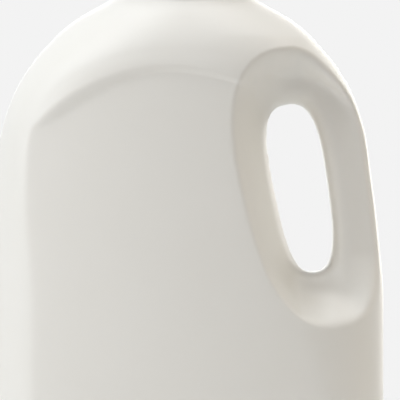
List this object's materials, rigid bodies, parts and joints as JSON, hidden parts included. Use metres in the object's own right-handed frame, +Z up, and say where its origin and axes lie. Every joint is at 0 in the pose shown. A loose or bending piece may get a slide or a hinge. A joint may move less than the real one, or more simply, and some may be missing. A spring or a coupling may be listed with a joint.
{
  "type": "laundry detergent bottle",
  "caption": "Blow-moulded laundry detergent jug with a domed shoulder, recessed label panels, a pinched through-handle, a drain-back pour spout and a screw-on measuring cap.",
  "frame": {"origin": "middle of the standing ring's footprint, on the surface that the bottle stands on", "axes": "+Z up, the front label panel faces -Y, the handle is at +X"},
  "size_m": [0.1996, 0.1, 0.3116],
  "materials": {
    "bottle_hdpe": "satin blow-moulded HDPE, warm white",
    "spout_ldpe": "satin moulded LDPE, natural white",
    "seal_foam": "matte foamed polyethylene",
    "cap_polypropylene": "satin moulded polypropylene, white"
  },
  "bodies": {
    "container": {"bottle": "bottle_hdpe", "pour_spout": "spout_ldpe"},
    "seal": {"sealing_ring": "seal_foam"},
    "cap": {"measuring_cap": "cap_polypropylene"}
  },
  "joints": [
    {"name": "cap_lift", "type": "slide", "parent": "container", "child": "seal", "axis": [0, 0, 1], "range_m": [0, 0.07]},
    {"name": "cap_turn", "type": "hinge", "parent": "seal", "child": "cap", "pos_m": [0, 0, 0.2476], "axis": [0, 0, 1], "range_deg": [0, 540]}
  ]
}
